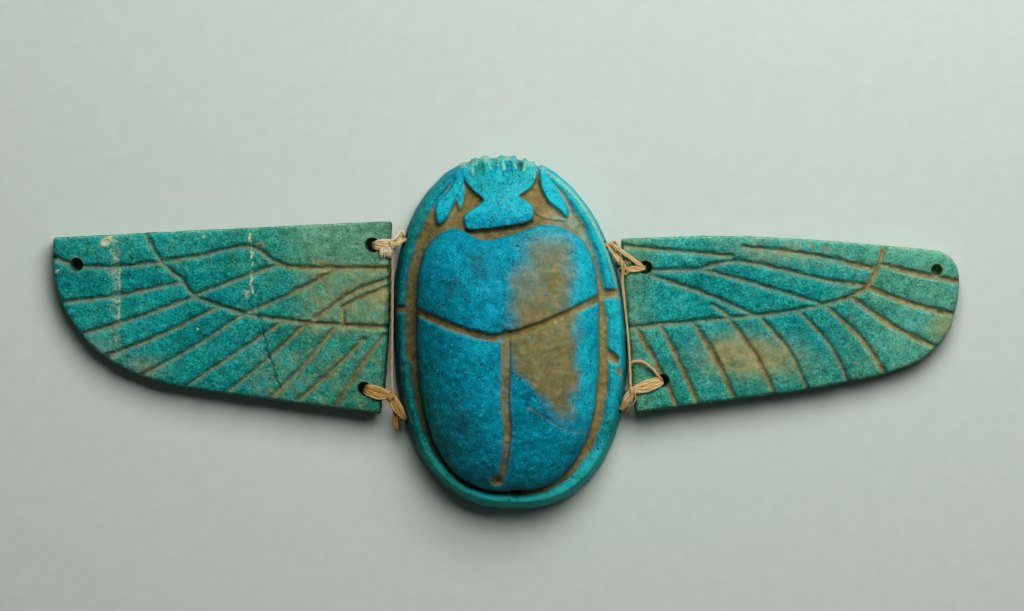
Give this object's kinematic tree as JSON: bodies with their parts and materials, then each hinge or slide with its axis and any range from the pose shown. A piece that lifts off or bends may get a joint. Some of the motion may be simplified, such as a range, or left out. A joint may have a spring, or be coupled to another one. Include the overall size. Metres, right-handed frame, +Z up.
{
  "type": "winged scarab amulet",
  "caption": "Carved blue-green faience beetle lying flat between separate pierced wing plates, each lashed to its flank with linen thread.",
  "frame": {"origin": "middle of the whole amulet's outline, on the plane that the beetle's flat underside rests on", "axes": "+X across the wings towards the wing on the viewer's right, +Y towards the beetle's head, +Z up from the flat underside"},
  "size_m": [0.1536, 0.06, 0.0175],
  "materials": {
    "blue_faience": "satin glazed faience, brown dirt in the grooves",
    "green_faience": "worn satin glazed faience, speckled",
    "linen_thread": "twisted undyed linen"
  },
  "bodies": {
    "root": {"scarab": "blue_faience", "left_wing": "green_faience", "right_wing": "green_faience", "left_thread": "linen_thread", "right_thread": "linen_thread"}
  },
  "joints": []
}
